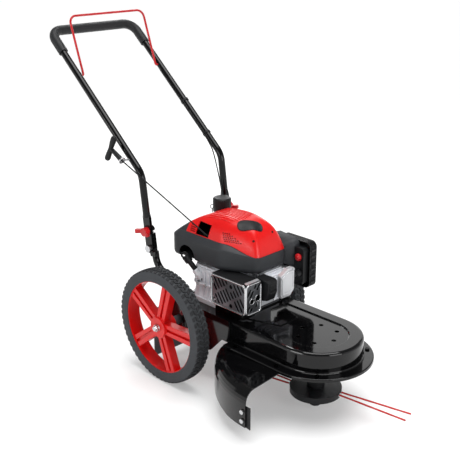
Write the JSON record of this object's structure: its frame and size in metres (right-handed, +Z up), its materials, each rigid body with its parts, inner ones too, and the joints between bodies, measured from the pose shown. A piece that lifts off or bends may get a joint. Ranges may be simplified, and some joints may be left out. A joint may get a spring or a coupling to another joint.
{
  "type": "wheeled string trimmer",
  "caption": "Walk-behind string trimmer on spoked wheels: pressed deck with belt-driven line head, vertical-shaft engine and folding loop handle with bail.",
  "frame": {"origin": "on the ground under the axis of the cutting spindle, at the middle of the glide knob's foot", "axes": "+X forward, +Y to the operator's left, +Z up"},
  "size_m": [1.2702, 0.5379, 1.0296],
  "materials": {
    "red_plastic": "gloss",
    "red_rod": "gloss",
    "red_line": "satin",
    "black_steel": "gloss",
    "tyre_rubber": "matte",
    "grey_plastic": "matte",
    "black_plastic": "satin",
    "cast_alloy": "satin",
    "bright_steel": "satin",
    "iron": "matte",
    "bronze": "satin",
    "belt_rubber": "matte",
    "flap_rubber": "matte",
    "foam": "matte",
    "paper": "matte",
    "cord": "matte",
    "cable_jacket": "satin"
  },
  "bodies": {
    "chassis": {"axle": "bright_steel", "wheel_bushes": "bronze", "axle_nuts": "bright_steel", "chassis_frame": "black_steel", "deck_shell": "black_steel", "deck_plate": "black_steel", "deflector": "black_steel", "line_knife": "black_steel", "frame_bolts": "bright_steel", "spindle_housing": "cast_alloy", "spindle_bearings": "bright_steel", "spindle_bolts": "bright_steel", "drive_belt": "belt_rubber", "engine_block": "cast_alloy", "cylinder_head": "cast_alloy", "valve_cover": "cast_alloy", "head_baffle": "black_steel", "spark_plug": "black_plastic", "muffler": "iron", "muffler_guard": "bright_steel", "engine_cowl": "grey_plastic", "top_cover": "red_plastic", "fuel_tank": "grey_plastic", "dipstick_tube": "black_plastic", "carburettor": "cast_alloy", "air_filter_base": "grey_plastic", "air_filter_cover": "black_plastic", "filter_element": "paper", "lower_handles": "black_steel", "handle_brackets": "black_steel", "handle_bolts": "bright_steel", "starter_rope": "cord", "brake_cable_tail": "cable_jacket"},
    "right_wheel": {"right_tyre": "tyre_rubber", "right_rim": "red_plastic"},
    "left_wheel": {"left_tyre": "tyre_rubber", "left_rim": "red_plastic"},
    "crank": {"crankshaft": "bright_steel", "flywheel": "cast_alloy", "drive_pulley": "iron"},
    "cutter": {"spindle_shaft": "bright_steel", "driven_pulley": "iron", "trimmer_head": "black_plastic", "line_eyelets": "bright_steel", "cutting_lines": "red_line", "glide_knob": "black_plastic"},
    "handle": {"upper_handle": "black_steel", "handle_grip": "foam", "rope_guide": "bright_steel", "brake_cable": "cable_jacket", "cable_clips": "black_plastic"},
    "bail_lever": {"bail": "red_rod"},
    "right_knob": {"right_clamp_knob": "red_plastic"},
    "left_knob": {"left_clamp_knob": "red_plastic"},
    "pull_grip": {"starter_grip": "black_plastic"},
    "reel": {"starter_reel": "black_plastic"},
    "cap": {"fuel_cap": "black_plastic"},
    "stick": {"dipstick": "black_plastic"},
    "bulb": {"primer_bulb": "red_plastic"},
    "flap": {"rear_flap": "flap_rubber"}
  },
  "joints": [
    {"name": "right_wheel_spin", "type": "hinge", "parent": "chassis", "child": "right_wheel", "pos_m": [-0.415, -0.208, 0.175], "axis": [0, 1, 0], "continuous": true},
    {"name": "left_wheel_spin", "type": "hinge", "parent": "chassis", "child": "left_wheel", "pos_m": [-0.415, 0.208, 0.175], "axis": [0, 1, 0], "continuous": true},
    {"name": "crank_spin", "type": "hinge", "parent": "chassis", "child": "crank", "pos_m": [-0.325, 0, 0.3], "axis": [0, 0, 1], "continuous": true},
    {"name": "cutter_spin", "type": "hinge", "parent": "chassis", "child": "cutter", "pos_m": [0, 0, 0.1], "axis": [0, 0, 1], "continuous": true},
    {"name": "handle_fold", "type": "hinge", "parent": "chassis", "child": "handle", "pos_m": [-0.52, 0, 0.378], "axis": [0, 1, 0], "range_deg": [0, 90], "deforming": ["starter_rope", "brake_cable_tail"]},
    {"name": "bail_squeeze", "type": "hinge", "parent": "handle", "child": "bail_lever", "pos_m": [-0.83828, 0, 0.85407], "axis": [0, -1, 0], "range_deg": [0, 22], "stiffness_Nm_per_rad": 2, "springref_deg": -28.65},
    {"name": "right_knob_turn", "type": "hinge", "parent": "handle", "child": "right_knob", "pos_m": [-0.52724, -0.185, 0.43151], "axis": [0, 1, 0], "continuous": true},
    {"name": "left_knob_turn", "type": "hinge", "parent": "handle", "child": "left_knob", "pos_m": [-0.52724, 0.185, 0.43151], "axis": [0, 1, 0], "continuous": true},
    {"name": "starter_pull", "type": "slide", "parent": "handle", "child": "pull_grip", "axis": [-0.8829, 0, 0.4695], "range_m": [0, 0.5], "stiffness_N_per_m": 8, "springref_m": -0.05},
    {"name": "reel_turn", "type": "hinge", "parent": "chassis", "child": "reel", "pos_m": [-0.325, 0, 0.414], "axis": [0, 0, 1], "range_deg": [0, 480]},
    {"name": "fuel_cap_turn", "type": "hinge", "parent": "chassis", "child": "cap", "pos_m": [-0.437, 0.056, 0.48], "axis": [0, 0, 1], "range_deg": [0, 270]},
    {"name": "dipstick_lift", "type": "slide", "parent": "chassis", "child": "stick", "axis": [-0.4503, -0.3778, 0.809], "range_m": [0, 0.09]},
    {"name": "primer_press", "type": "slide", "parent": "chassis", "child": "bulb", "axis": [0, 1, 0], "range_m": [0, 0.006], "stiffness_N_per_m": 600, "springref_m": -0.002},
    {"name": "flap_swing", "type": "hinge", "parent": "chassis", "child": "flap", "pos_m": [-0.521, 0, 0.168], "axis": [0, 1, 0], "range_deg": [-15, 75]}
  ],
  "couplings": [
    {"joint": "cutter_spin", "follows": "crank_spin", "ratio": 0.93333},
    {"joint": "reel_turn", "follows": "starter_pull", "rad_per_m": 16.5}
  ]
}
